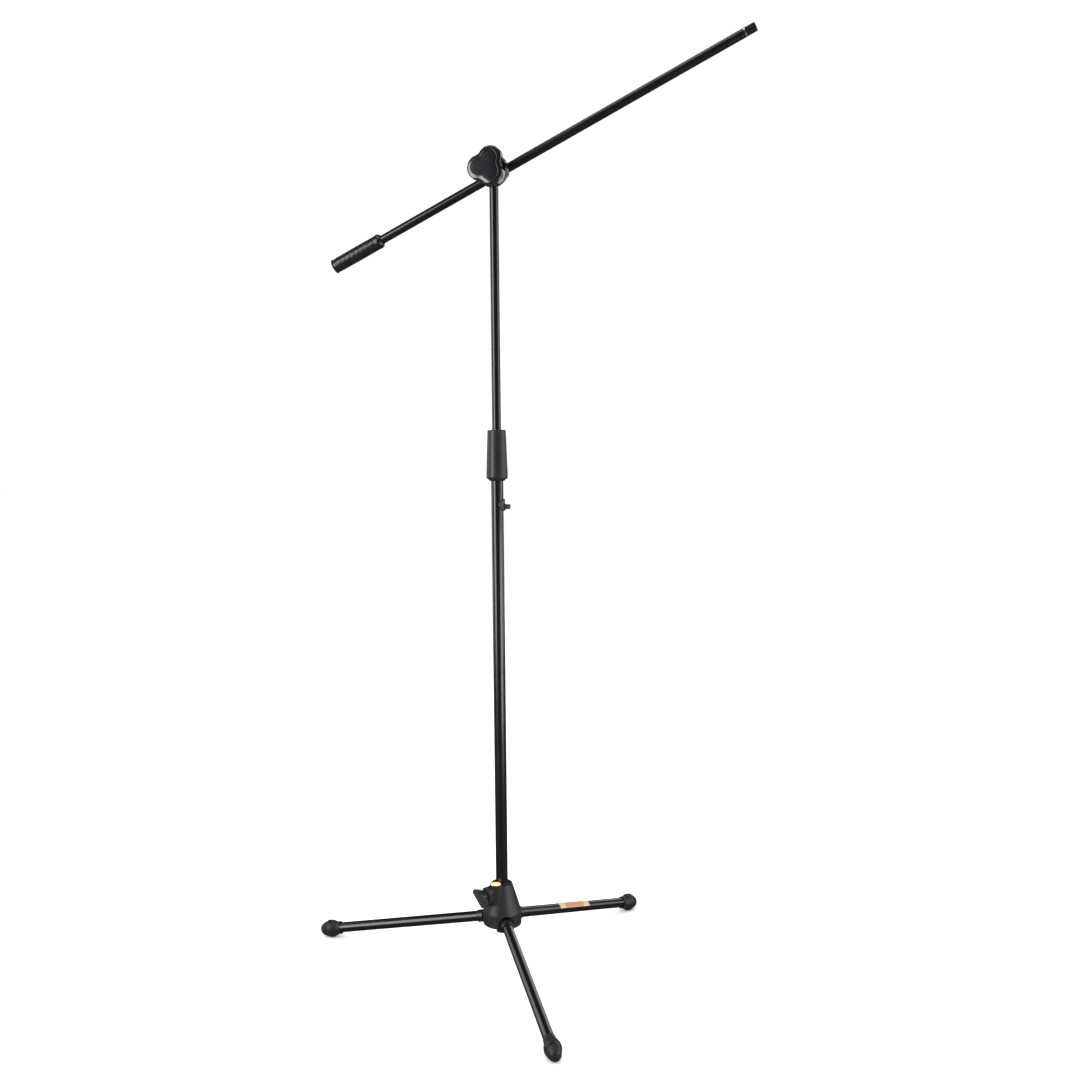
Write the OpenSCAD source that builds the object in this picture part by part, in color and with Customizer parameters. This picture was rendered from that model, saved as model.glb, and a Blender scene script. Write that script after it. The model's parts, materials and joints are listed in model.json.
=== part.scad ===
// Tripod microphone stand with a tilting, sliding boom.
// Frame: origin on the floor under the mast axis, +Z up, +X the way the boom tip points,
// and the boom's tilt axis along Y with its knob on the -Y side.

/* [Legs] */
// Radius from the mast axis to the middle of each foot
leg_reach = 351; // [300:1:370]
// Height at which the leg axes meet the mast axis
leg_root_z = 89.2; // [86:0.1:92]
// Outer diameter of a leg tube
leg_d = 19; // [17:0.5:19.5]
// Wall of a leg tube
leg_wall = 1.2; // [0.8:0.1:1.6]
// Largest diameter of a rubber foot
foot_d = 33; // [30:0.5:34]
// Length of a rubber foot
foot_len = 44; // [38:1:48]
// Radius at which the leg pivot pins sit
pivot_r = 23; // [23:0.5:24]
// Diameter of a leg pivot pin
leg_pin_d = 5; // [4:0.5:6]

/* [Hub] */
// Height of the top of the hub
hub_top_z = 149.5; // [145:0.5:151]
// Radius of the hub at its top
hub_top_r = 19; // [18.5:0.5:22]
// Height at which the hub's cone meets its straight skirt
hub_shoulder_z = 97; // [95:0.5:99]
// Radius of the hub's skirt
hub_skirt_r = 35.5; // [35:0.5:37]
// Height of the hub's lower edge
hub_bottom_z = 73; // [70:0.5:76]
// Height of the clamp screw's axis
clamp_z = 133.5; // [132:0.5:134]
// Tip-to-tip span of the wing knob
wing_span = 38; // [30:1:42]

/* [Mast] */
// Outer diameter of the lower mast tube
lower_d = 22; // [21:0.5:22]
// Outer diameter of the upper mast tube
upper_d = 16; // [15:0.5:16]
// Height of the lower tube's bottom end
lower_bottom_z = 60; // [58:1:64]
// Height of the upper tube's bottom end
upper_bottom_z = 632; // [600:1:700]
// Height of the cable peg on the lower tube
peg_z = 846; // [700:1:860]

/* [Height clutch] */
// Height of the grip sleeve's lower end
grip_bottom_z = 889; // [880:1:900]
// Overall length of the grip sleeve
grip_len = 91; // [88:1:94]
// Diameter of the grip sleeve at its top
grip_top_d = 33; // [33:0.5:36]
// Largest diameter of the grip sleeve
grip_d = 39; // [38:0.5:42]

/* [Boom joint] */
// Height of the boom's tilt axis
tilt_z = 1431.5; // [1420:0.5:1440]
// Angle of the boom above level
tilt_deg = 23.4; // [0:0.1:45]
// Diameter of the joint's round head
head_d = 56; // [54:0.5:58]
// Distance of the boom axis behind the mast axis
boom_offset = 20.5; // [20.5:0.1:22]
// Radius of the knob over its three lobes
knob_r = 35; // [30:0.5:35]
// Diameter of the eye bolt
bolt_d = 8; // [8:0.5:8]

/* [Boom] */
// Outer diameter of the boom tube
boom_d = 16; // [15:0.5:16]
// Length of boom ahead of the tilt axis, to the end of the thread
boom_front = 483.5; // [420:0.5:520]
// Length of boom behind the tilt axis
boom_rear = 350.5; // [320:0.5:380]
// Length of the counterweight
weight_len = 106.5; // [90:0.5:115]
// Diameter of the counterweight
weight_d = 27; // [25:0.5:27]
// Outer diameter of the microphone thread
thread_d = 15.88; // [15.88:0.01:15.88]
// Length of the microphone thread
thread_len = 18; // [14:0.5:19]

/* [Hidden] */
$fn = 64;
run_gap = 0.06;      // radial clearance of a running fit
free_gap = 0.35;     // clearance between parts that move past each other
eps = 0.5;           // how far a cutter runs past the face that it opens

leg_names = ["front_right", "front_left", "rear"];
leg_azimuths = [-60, 60, 180];
foot_mid_z = foot_d / 2 - 0.3;
leg_drop = atan((leg_root_z - foot_mid_z) / leg_reach);
pivot_z = leg_root_z - pivot_r * tan(leg_drop);
foot_mid = (leg_reach - pivot_r) / cos(leg_drop);
leg_r = leg_d / 2;
tongue_w = 11;
tongue_r = 8.5;
socket_r = leg_r + 1.7;
socket_start = 12;
socket_end = 24;
tube_start = 15;
ear_gap = 0.3;
ear_t = 8;
ear_outer = 31;
pin_len = tongue_w + 2 * ear_gap + 2 * ear_t + 0.6;
label_low = 3;

hub_wall = 3;
arch_r = 14;
arch_z = 82.5;
column_r = 17;
column_bottom_z = 95;
clamp_az = -120;
boss_r = 11;
boss_low_z = 125;
boss_high_z = 138.5;
boss_end = 40;
nut_w = 13;
nut_t = 6.5;
nut_h = 17.5;
nut_at = 31.5;
cap_az = -104;
cap_at = 21.2;
cap_r = 9.2;
cap_top_z = 153.4;
cap_boss_z = 119;
liner_r = lower_d / 2 + 1.5;
shoe_r = 5.6;
shoe_back = 18;
wing_at = 53;
wing_twist = 47;

lower_r = lower_d / 2;
lower_wall = 1.5;
lower_top_z = 938;
upper_r = upper_d / 2;
upper_wall = 1.2;
upper_top_z = tilt_z - 10;
slider_h = 30;

grip_top_z = grip_bottom_z + grip_len;
grip_cone_z = grip_bottom_z + 6;
clutch_r = lower_r + 3;
clutch_bottom_z = grip_bottom_z + 8;
clutch_shoulder_z = lower_top_z + 7;
clutch_tip_z = lower_top_z + 28;
wedge_bottom_z = lower_top_z + 10;
wedge_top_z = lower_top_z + 24;
wedge_r = clutch_r + 1.4;

head_r = head_d / 2;
head_front = 20;
head_back = 9;
head_back_r = 24;
bolt_r = bolt_d / 2;
boom_r = boom_d / 2;
bush_r = boom_r + 1.5;
bush_half = 17.5;
flange_r = bush_r + 1.6;
block_half = 17;
block_r = 17;
barrel_r = 13.5;
disc_t = 1.4;
eye_r = 13.5;
eye_w = 8;
washer_t = 2;
knob_back = head_front + washer_t + 0.4;
knob_t = 23.5;
knob_front = knob_back + knob_t;
lobe_r = 21;
lobe_waist = 2.4;
lobes_deg = [65, 185, 305];
bolt_front = knob_front - 8;

thread_r = thread_d / 2;
weight_r = weight_d / 2;
weight_front = weight_len - boom_rear;
core_r = weight_r - 2;

// ---- placements and shared shapes ----

// a leg's own frame: origin on its pivot pin, +X out along the leg, +Y along the pin
module on_leg(azimuth) {
    rotate([0, 0, azimuth])
        translate([pivot_r, 0, pivot_z])
            rotate([0, leg_drop, 0])
                children();
}

// the clamp screw's frame: origin on the mast axis, +X outwards along the screw
module on_clamp() {
    translate([0, 0, clamp_z])
        rotate([0, 0, clamp_az])
            children();
}

// the tilt axis: origin at the mast axis, local +Z towards the knob, local +X along +X
module on_tilt_axis() {
    translate([0, 0, tilt_z])
        rotate([90, 0, 0])
            children();
}

// the boom's frame: origin abreast of the tilt axis, +X along the boom towards its tip
module on_boom() {
    translate([0, boom_offset, tilt_z])
        rotate([0, -tilt_deg, 0])
            children();
}

// upright ring between two heights
module ring(outer, inner, low, high) {
    translate([0, 0, low])
        difference() {
            cylinder(r = outer, h = high - low);
            translate([0, 0, -eps])
                cylinder(r = inner, h = high - low + 2 * eps);
        }
}

// rod along +X between two distances
module rod_x(radius, from, to) {
    translate([from, 0, 0])
        rotate([0, 90, 0])
            cylinder(r = radius, h = to - from);
}

// ring along +X between two distances
module ring_x(outer, inner, from, to) {
    difference() {
        rod_x(outer, from, to);
        rod_x(inner, from - eps, to + eps);
    }
}

// ---- hub ----

// solid of revolution inside the hub's outer face, drawn in by a wall
module bell(inset, low, high) {
    slope = (hub_skirt_r - hub_top_r) / (hub_top_z - hub_shoulder_z);
    rotate_extrude()
        polygon([
            [0, low],
            [hub_skirt_r - inset, low],
            [hub_skirt_r - inset, hub_shoulder_z],
            [hub_top_r - inset + slope * (hub_top_z - high), high],
            [0, high]
        ]);
}

// the two ears that hold one leg's pin, and the wall that joins them to the column
module leg_ears() {
    inner = pivot_r - tongue_r - 1.2;
    for (side = [-1, 1])
        translate([0, side * (tongue_w / 2 + ear_gap + ear_t / 2), 0])
            rotate([90, 0, 0])
                union() {
                    translate([inner, pivot_z, -ear_t / 2])
                        cube([ear_outer - inner, hub_top_z - pivot_z, ear_t]);
                    translate([pivot_r, pivot_z, -ear_t / 2])
                        cylinder(r = ear_outer - pivot_r + 0.4, h = ear_t);
                }
}

// the boss that carries the clamp screw, as an upright slot shape
module clamp_boss() {
    on_clamp()
        union() {
            for (z = [boss_low_z, boss_high_z])
                translate([0, 0, z - clamp_z])
                    rod_x(boss_r, liner_r, boss_end);
            translate([liner_r, -boss_r, boss_low_z - clamp_z])
                cube([boss_end - liner_r, 2 * boss_r, boss_high_z - boss_low_z]);
        }
}

module cap_boss() {
    rotate([0, 0, cap_az])
        translate([cap_at, 0, cap_boss_z])
            cylinder(r = cap_r + 1.8, h = cap_top_z - 0.6 - cap_boss_z);
}

module hub_shell() {
    difference() {
        bell(0, hub_bottom_z, hub_top_z);
        bell(hub_wall, hub_bottom_z - eps, hub_top_z - hub_wall - 1);
        for (azimuth = leg_azimuths)
            rotate([0, 0, azimuth])
                union() {
                    translate([0, 0, arch_z])
                        rod_x(arch_r, 0, hub_skirt_r + eps);
                    translate([0, -arch_r, hub_bottom_z - eps])
                        cube([hub_skirt_r + eps, 2 * arch_r, arch_z - hub_bottom_z + eps]);
                }
    }
}

module hub_ribs() {
    intersection() {
        bell(hub_wall / 2, hub_bottom_z, hub_top_z - hub_wall / 2);
        union() {
            translate([0, 0, column_bottom_z])
                cylinder(r = column_r, h = hub_top_z - column_bottom_z);
            for (azimuth = leg_azimuths)
                rotate([0, 0, azimuth])
                    leg_ears();
        }
    }
}

module hub_housing() {
    color("#2b2b2d")
        difference() {
            union() {
                hub_shell();
                hub_ribs();
                clamp_boss();
                cap_boss();
            }
            // bore for the liner
            translate([0, 0, hub_bottom_z - eps])
                cylinder(r = liner_r + 0.05, h = cap_top_z - hub_bottom_z + 2 * eps);
            // bores for the leg pins
            for (azimuth = leg_azimuths)
                rotate([0, 0, azimuth])
                    translate([pivot_r, 0, pivot_z])
                        rotate([90, 0, 0])
                            cylinder(d = leg_pin_d + 0.04, h = pin_len, center = true);
            // bore for the clamp shoe, then for the clamp screw
            on_clamp()
                union() {
                    rod_x(shoe_r + run_gap, 0, shoe_back + 4);
                    rod_x(bolt_r + free_gap, 0, boss_end + eps);
                    // slot that the nut drops into from above
                    translate([nut_at - nut_t / 2 - 0.1, -nut_w / 2 - 0.1, -nut_w / 2 - 0.1])
                        cube([nut_t + 0.2, nut_w + 0.2, nut_w + boss_r + 5]);
                }
            // recess for the round cap
            rotate([0, 0, cap_az])
                translate([cap_at, 0, cap_top_z - 1.8])
                    cylinder(r = cap_r + 0.05, h = 3);
        }
}

module guide_liner() {
    color("#18181a")
        difference() {
            ring(liner_r, lower_r + 0.08, column_bottom_z, hub_top_z + 1.5);
            on_clamp()
                rod_x(shoe_r + 0.3, 0, shoe_back);
        }
}

module clamp_nut() {
    color("silver")
        on_clamp()
            difference() {
                translate([nut_at - nut_t / 2, -nut_w / 2, -nut_w / 2])
                    cube([nut_t, nut_w, nut_h]);
                rod_x(bolt_r + run_gap, 0, boss_end);
            }
}

module boss_cap() {
    color("#d9b21e")
        rotate([0, 0, cap_az])
            translate([cap_at, 0, cap_top_z - 1.75])
                cylinder(r = cap_r, h = 1.75);
}

module leg_pins() {
    color("silver")
        for (azimuth = leg_azimuths)
            rotate([0, 0, azimuth])
                translate([pivot_r, 0, pivot_z])
                    rotate([90, 0, 0])
                        cylinder(d = leg_pin_d, h = pin_len, center = true);
}

// ---- hub clamp ----

module clamp_shoe() {
    color("#d8d4c8")
        difference() {
            on_clamp()
                rod_x(shoe_r, lower_r - 4, shoe_back);
            translate([0, 0, clamp_z - 10])
                cylinder(r = lower_r + 0.12, h = 20);
        }
}

module clamp_bolt() {
    color("silver")
        on_clamp()
            rod_x(bolt_r, shoe_back + 0.05, wing_at - 2);
}

module wing_knob() {
    half = wing_span / 2;
    root = boss_end + 2.5;
    outer = wing_at + 8;
    color("#2a2a2c")
        on_clamp()
            difference() {
                union() {
                    rod_x(7.2, root - 0.6, wing_at);
                    rotate([wing_twist, 0, 0])
                        rotate([90, 0, 0])
                            linear_extrude(height = 6, center = true)
                                polygon([
                                    [root, half - 8],
                                    [root + 2, half - 5.2],
                                    [outer - 3.5, half],
                                    [outer, half - 2.5],
                                    [outer, 2.5 - half],
                                    [outer - 3.5, -half],
                                    [root + 2, 5.2 - half],
                                    [root, 8 - half]
                                ]);
                }
                rod_x(bolt_r + 0.02, root - 0.6 - eps, wing_at - 1.9);
            }
}

// ---- legs ----

module leg_bracket(azimuth) {
    color("#242426")
        on_leg(azimuth)
            difference() {
                union() {
                    rotate([90, 0, 0])
                        cylinder(r = tongue_r, h = tongue_w, center = true);
                    translate([0, -tongue_w / 2, -tongue_r + 0.2])
                        cube([socket_start + 1, tongue_w, 2 * tongue_r - 0.4]);
                    rod_x(socket_r, socket_start, socket_end);
                    rod_x(leg_r - leg_wall - 0.04, socket_start, socket_end + 16);
                }
                rotate([90, 0, 0])
                    cylinder(r = leg_pin_d / 2 + run_gap, h = tongue_w + 2 * eps, center = true);
                // annular groove that the leg tube pushes into
                difference() {
                    rod_x(leg_r + 0.04, tube_start, socket_end + eps);
                    rod_x(leg_r - leg_wall - 0.04, tube_start - eps, socket_end + 2 * eps);
                }
            }
}

module leg_tube(azimuth) {
    color("#151516")
        on_leg(azimuth)
            ring_x(leg_r, leg_r - leg_wall, tube_start + 0.05, foot_mid + 2);
}

// rubber boot over the tube's end, cut flat where it stands on the floor
module foot(azimuth) {
    half = foot_d / 2;
    neck = leg_r + 2.2;
    tail = foot_len / 2 - 1;
    color("#1d1d1f")
        difference() {
            on_leg(azimuth)
                translate([foot_mid, 0, 0])
                    difference() {
                        rotate([0, 90, 0])
                            rotate_extrude()
                                polygon([
                                    [0, -foot_len / 2],
                                    [neck, -foot_len / 2],
                                    [neck + 1.5, -foot_len / 2 + 8],
                                    [half - 1.5, -6],
                                    [half, 0],
                                    [half - 0.6, 8],
                                    [half - 4, 16],
                                    [half - 9, tail],
                                    [0, tail]
                                ]);
                        rod_x(leg_r + 0.04, -foot_len / 2 - eps, 2.1);
                    }
            // the flat pad: everything under the floor plane goes
            rotate([0, 0, azimuth])
                translate([leg_reach - foot_len, -foot_d, -foot_d])
                    cube([2 * foot_len, 2 * foot_d, foot_d]);
        }
}

// thin printed patch over the upper side of the front left leg
module leg_label() {
    color("#e08a1e")
        on_leg(leg_azimuths[1])
            intersection() {
                ring_x(leg_r + 0.35, leg_r + 0.03, 124, 207);
                translate([123, -leg_d, label_low])
                    cube([85, 2 * leg_d, leg_d]);
            }
}

// ---- lower mast ----

module lower_tube() {
    color("#141415")
        ring(lower_r, lower_r - lower_wall, lower_bottom_z, lower_top_z);
}

module tube_end_plug() {
    color("#1c1c1e")
        union() {
            translate([0, 0, lower_bottom_z - 3])
                cylinder(r = lower_r, h = 2.98);
            translate([0, 0, lower_bottom_z - 0.1])
                cylinder(r = lower_r - lower_wall - 0.05, h = 14);
        }
}

// curved plate fixed to the tube under the peg
module peg_saddle() {
    color("#1f1f21")
        intersection() {
            ring(lower_r + 2.8, lower_r + 0.03, peg_z - 12, peg_z + 12);
            translate([0, 0, peg_z])
                rotate([0, 90, 0])
                    scale([1, 0.9, 1])
                        cylinder(r = 11, h = 40);
        }
}

module cable_peg() {
    color("#222224")
        translate([0, 0, peg_z - 3])
            union() {
                rod_x(5.2, lower_r + 2.85, lower_r + 12);
                rod_x(4.4, lower_r + 12, lower_r + 12.8);
            }
}

// sleeve fixed over the tube's top, ending in tapered fingers round the upper tube
module clutch_body() {
    color("#303033")
        difference() {
            union() {
                translate([0, 0, clutch_bottom_z])
                    cylinder(r = clutch_r, h = clutch_shoulder_z - clutch_bottom_z);
                translate([0, 0, clutch_shoulder_z])
                    cylinder(r1 = clutch_r, r2 = clutch_r - 3.2, h = clutch_tip_z - clutch_shoulder_z);
            }
            translate([0, 0, clutch_bottom_z - eps])
                cylinder(r = lower_r + 0.03, h = lower_top_z - clutch_bottom_z + eps + 0.05);
            translate([0, 0, lower_top_z - 1])
                cylinder(r = upper_r + 0.08, h = 40);
            for (turn = [0, 120, 240])
                rotate([0, 0, turn])
                    translate([0, -1, clutch_shoulder_z + 3])
                        cube([clutch_r + 1, 2, 30]);
        }
}

// ---- clutch grip ----

// tapered ring that squeezes the fingers when the grip screws down
module clutch_wedge() {
    taper = 3.2 / (clutch_tip_z - clutch_shoulder_z);
    low = clutch_r - taper * (wedge_bottom_z - clutch_shoulder_z) + free_gap;
    high = clutch_r - taper * (wedge_top_z - clutch_shoulder_z) + free_gap;
    color("silver")
        difference() {
            translate([0, 0, wedge_bottom_z])
                cylinder(r = wedge_r, h = wedge_top_z - wedge_bottom_z);
            translate([0, 0, wedge_bottom_z])
                cylinder(r1 = low, r2 = high, h = wedge_top_z - wedge_bottom_z);
            translate([0, 0, wedge_bottom_z - eps])
                cylinder(r = low, h = 2 * eps);
            translate([0, 0, wedge_top_z - eps])
                cylinder(r = high, h = 2 * eps);
        }
}

module grip_sleeve() {
    color("#333336")
        difference() {
            rotate_extrude()
                polygon([
                    [0, grip_bottom_z],
                    [lower_r + 1.4, grip_bottom_z],
                    [grip_d / 2, grip_cone_z],
                    [grip_d / 2, grip_cone_z + 1.5],
                    [grip_top_d / 2, grip_top_z - 1],
                    [grip_top_d / 2 - 1, grip_top_z],
                    [0, grip_top_z]
                ]);
            // room for the lower tube, the clutch body and the wedge ring
            translate([0, 0, grip_bottom_z - eps])
                cylinder(r = lower_r + 0.4, h = 20);
            translate([0, 0, clutch_bottom_z - 2.5])
                cylinder(r = clutch_r + free_gap, h = wedge_bottom_z - clutch_bottom_z + 1.5);
            translate([0, 0, wedge_bottom_z - 2])
                cylinder(r = wedge_r + free_gap, h = wedge_top_z - wedge_bottom_z + 2.2);
            translate([0, 0, wedge_top_z])
                cylinder(r = clutch_r - 0.8, h = 6.5);
            translate([0, 0, wedge_top_z])
                cylinder(r = upper_r + 1, h = 40);
            // recess for the top ring
            translate([0, 0, grip_top_z - 5.5])
                cylinder(r = 12.6, h = 6);
        }
}

module grip_cap() {
    color("#202022")
        ring(12.5, upper_r + 0.8, grip_top_z - 5.4, grip_top_z - 2.6);
}

// ---- sliding bush and upper mast ----

// split bush that guides the upper tube inside the lower tube
module guide_bush() {
    color("#d8d4c8")
        ring(lower_r - lower_wall - 0.08, upper_r + 0.06, upper_bottom_z + 0.4, upper_bottom_z + slider_h);
}

module upper_tube() {
    color("#161617")
        ring(upper_r, upper_r - upper_wall, upper_bottom_z, upper_top_z);
}

module upper_tube_plug() {
    color("#1c1c1e")
        union() {
            translate([0, 0, upper_bottom_z - 4])
                cylinder(r = lower_r - lower_wall - 0.6, h = 3.95);
            translate([0, 0, upper_bottom_z - 0.1])
                cylinder(r = upper_r - upper_wall - 0.05, h = 12);
        }
}

module bush_clip() {
    color("silver")
        ring(upper_r + 1, upper_r + 0.03, upper_bottom_z + slider_h + 0.4, upper_bottom_z + slider_h + 1.6);
}

module mast_head() {
    color("#29292b")
        difference() {
            on_tilt_axis()
                union() {
                    cylinder(r = head_r, h = head_front);
                    translate([0, 0, -head_back])
                        cylinder(r1 = head_back_r, r2 = head_r, h = head_back);
                }
            // socket for the upper tube
            translate([0, 0, tilt_z - head_r - 5])
                cylinder(r = upper_r + 0.03, h = upper_top_z - tilt_z + head_r + 5.1);
            on_tilt_axis()
                union() {
                    translate([0, 0, -head_back - eps])
                        cylinder(r = bolt_r + run_gap, h = head_back + head_front + 2 * eps);
                    // recess behind, for the eye of the bolt
                    translate([0, 0, -head_back - eps])
                        cylinder(r = 9.6, h = 3.5 + eps);
                    // ring pocket in front that keeps the casting light
                    difference() {
                        translate([0, 0, head_front - 10])
                            cylinder(r = head_r - 3, h = 10 + eps);
                        translate([0, 0, head_front - 10 - eps])
                            cylinder(r = 13.5, h = 10 + 3 * eps);
                    }
                }
        }
}

// ---- boom clamp ----

module eye_bolt() {
    color("silver")
        difference() {
            union() {
                on_boom()
                    rod_x(eye_r, -eye_w / 2, eye_w / 2);
                on_tilt_axis()
                    translate([0, 0, -boom_offset + 10.5])
                        cylinder(r = bolt_r, h = bolt_front + boom_offset - 10.5);
            }
            on_boom()
                rod_x(bush_r + run_gap, -eye_w, eye_w);
        }
}

module boom_block() {
    front = head_back + disc_t + 0.2;
    plate_back = front + 6;
    reach = boom_offset + barrel_r;
    color("#2c2c2f")
        difference() {
            union() {
                on_tilt_axis()
                    translate([0, 0, -plate_back])
                        cylinder(r = block_r, h = plate_back - front);
                intersection() {
                    on_boom()
                        rod_x(barrel_r, -block_half, block_half);
                    on_tilt_axis()
                        translate([0, 0, -reach])
                            cylinder(r = 2 * block_half, h = reach - front);
                }
            }
            on_boom()
                union() {
                    rod_x(bush_r + run_gap, -block_half - eps, block_half + eps);
                    // slot for the bolt's eye
                    rod_x(eye_r + 1, -eye_w / 2 - 0.1, eye_w / 2 + 0.1);
                }
            on_tilt_axis()
                translate([0, 0, -boom_offset])
                    cylinder(r = bolt_r + 0.1, h = boom_offset);
        }
}

module friction_disc() {
    color("#8c7a5a")
        on_tilt_axis()
            translate([0, 0, -head_back - disc_t - 0.1])
                difference() {
                    cylinder(r = block_r - 1, h = disc_t);
                    translate([0, 0, -eps])
                        cylinder(r = 10, h = disc_t + 2 * eps);
                }
}

// ---- tilt knob ----

module knob_washer() {
    color("silver")
        on_tilt_axis()
            translate([0, 0, head_front + 0.1])
                difference() {
                    cylinder(r = 12, h = washer_t);
                    translate([0, 0, -eps])
                        cylinder(r = bolt_r + run_gap, h = washer_t + 2 * eps);
                }
}

// rounded triangle: three round lobes and the flat-sided web between them
module lobed_outline(shrink) {
    mid = knob_r - lobe_r;
    r = lobe_r - shrink;
    for (turn = lobes_deg)
        translate([mid * cos(turn), mid * sin(turn)])
            circle(r = r);
    polygon([
        for (turn = lobes_deg)
            for (side = [-60, 60])
                [
                    mid * cos(turn) + (r - lobe_waist) * cos(turn + side),
                    mid * sin(turn) + (r - lobe_waist) * sin(turn + side)
                ]
    ]);
}

module tilt_knob() {
    color("#39393c")
        on_tilt_axis()
            difference() {
                union() {
                    translate([0, 0, knob_back])
                        cylinder(r = 15, h = 4);
                    translate([0, 0, knob_back + 3])
                        linear_extrude(height = knob_t - 3 - 4)
                            lobed_outline(0);
                    translate([0, 0, knob_back + 5])
                        linear_extrude(height = knob_t - 5)
                            lobed_outline(4.5);
                }
                translate([0, 0, knob_back - eps])
                    cylinder(r = bolt_r + 0.2, h = knob_t);
                // hexagon pocket for the nut, open to the front
                translate([0, 0, knob_back + 4])
                    cylinder(r = 7.6, h = knob_t, $fn = 6);
                // recess for the front cover
                translate([0, 0, knob_front - 2.2])
                    linear_extrude(height = 3)
                        lobed_outline(6.9);
            }
}

module knob_nut() {
    color("silver")
        on_tilt_axis()
            translate([0, 0, knob_back + 4.1])
                difference() {
                    cylinder(r = 7.5, h = 6.5, $fn = 6);
                    translate([0, 0, -eps])
                        cylinder(r = bolt_r + run_gap, h = 8);
                }
}

module knob_cap() {
    color("#2f2f33")
        on_tilt_axis()
            translate([0, 0, knob_front - 2.15])
                linear_extrude(height = 1.5)
                    lobed_outline(7);
}

// ---- boom ----

module boom_bush() {
    color("#18181a")
        on_boom()
            difference() {
                union() {
                    rod_x(bush_r, -bush_half, bush_half);
                    rod_x(flange_r, bush_half - 0.1, bush_half + 1.4);
                    rod_x(flange_r, -bush_half - 1.4, -bush_half + 0.1);
                }
                rod_x(boom_r + run_gap, -bush_half - 2, bush_half + 2);
            }
}

module boom_tube() {
    color("#151517")
        on_boom()
            ring_x(boom_r, boom_r - upper_wall, -boom_rear + 8, boom_front - thread_len - 2);
}

// threaded stud at the tip, with a spigot inside the tube
module mic_thread() {
    color("#2a2a2c")
        on_boom()
            union() {
                rod_x(thread_r, boom_front - thread_len, boom_front - 1);
                rod_x(thread_r - 1, boom_front - 1.1, boom_front);
                rod_x(boom_r - upper_wall - 0.05, boom_front - thread_len - 26, boom_front - thread_len + 0.1);
            }
}

module thread_collar() {
    color("silver")
        on_boom()
            ring_x(boom_r + 0.3, boom_r - upper_wall + 0.05, boom_front - thread_len - 1.95, boom_front - thread_len - 0.05);
}

// steel slug pressed over the boom's rear end
module weight_core() {
    color("silver")
        on_boom()
            ring_x(core_r, boom_r + 0.03, -boom_rear + 8, -boom_rear + weight_len - 9);
}

module weight_grip() {
    color("#232325")
        on_boom()
            difference() {
                union() {
                    rod_x(weight_r, -boom_rear + 3, -boom_rear + weight_len - 4);
                    rod_x(weight_r - 3, -boom_rear + 3, -boom_rear + weight_len);
                }
                rod_x(core_r + 0.03, -boom_rear + 2, -boom_rear + weight_len - 8.9);
                rod_x(boom_r + 0.1, -boom_rear, -boom_rear + weight_len + 1);
            }
}

module weight_cap() {
    color("#1b1b1d")
        on_boom()
            union() {
                rod_x(weight_r, -boom_rear, -boom_rear + 2.95);
                rod_x(core_r - 0.1, -boom_rear + 2.9, -boom_rear + 7.9);
            }
}

hub_housing();
guide_liner();
clamp_nut();
boss_cap();
leg_pins();
clamp_shoe();
clamp_bolt();
wing_knob();
for (i = [0 : 2]) {
    leg_bracket(leg_azimuths[i]);
    leg_tube(leg_azimuths[i]);
    foot(leg_azimuths[i]);
}
leg_label();
lower_tube();
tube_end_plug();
peg_saddle();
cable_peg();
clutch_body();
clutch_wedge();
grip_sleeve();
grip_cap();
guide_bush();
upper_tube();
upper_tube_plug();
bush_clip();
mast_head();
eye_bolt();
boom_block();
friction_disc();
knob_washer();
tilt_knob();
knob_nut();
knob_cap();
boom_bush();
boom_tube();
mic_thread();
thread_collar();
weight_core();
weight_grip();
weight_cap();
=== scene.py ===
"""Looks of a tripod microphone stand with a boom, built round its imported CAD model.

Places are in metres in the CAD frame, and come from the CAD nodes and joints. The outlines and
cuts of the finer pieces are in millimetres along each part's own axis.
"""
import json
import math

import bmesh
import bpy
from mathutils import Matrix, Vector


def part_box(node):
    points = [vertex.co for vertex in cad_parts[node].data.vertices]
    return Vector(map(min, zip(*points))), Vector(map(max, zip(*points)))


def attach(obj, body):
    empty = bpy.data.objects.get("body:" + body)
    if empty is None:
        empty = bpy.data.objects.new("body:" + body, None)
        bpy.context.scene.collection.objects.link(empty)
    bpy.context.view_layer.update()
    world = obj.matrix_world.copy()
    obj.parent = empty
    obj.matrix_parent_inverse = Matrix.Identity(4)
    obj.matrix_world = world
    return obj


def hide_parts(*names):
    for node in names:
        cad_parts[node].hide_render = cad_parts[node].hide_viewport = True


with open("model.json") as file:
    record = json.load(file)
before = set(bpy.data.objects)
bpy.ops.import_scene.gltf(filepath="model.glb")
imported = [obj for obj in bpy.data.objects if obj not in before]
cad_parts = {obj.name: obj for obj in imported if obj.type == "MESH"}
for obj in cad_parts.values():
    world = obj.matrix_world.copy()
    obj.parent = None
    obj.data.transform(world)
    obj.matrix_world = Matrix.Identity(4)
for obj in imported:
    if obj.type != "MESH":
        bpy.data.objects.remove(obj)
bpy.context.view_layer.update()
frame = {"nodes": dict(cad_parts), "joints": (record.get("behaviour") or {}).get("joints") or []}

MM = 0.001
NODES = frame["nodes"]
JOINTS = {j["name"]: j for j in frame["joints"]}
LEG_NAMES = ("front_right", "front_left", "rear")


# ---- frames: local +Z runs along a part's axis ----

def place(origin, along, up):
    """Matrix at origin whose local +Z runs along a direction, with local +X towards up."""
    z = Vector(along).normalized()
    x = (Vector(up) - z * Vector(up).dot(z)).normalized()
    made = Matrix((x, z.cross(x), z)).transposed().to_4x4()
    made.translation = Vector(origin)
    return made


def at_joint(joint, up):
    """Frame at a joint, along the joint's axis."""
    return place(JOINTS[joint]["pos_m"], JOINTS[joint]["axis"], up)


def middle(node):
    """Mean place of a CAD node's points."""
    points = [v.co for v in NODES[node].data.vertices]
    return sum(points, Vector()) / len(points)


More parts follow.
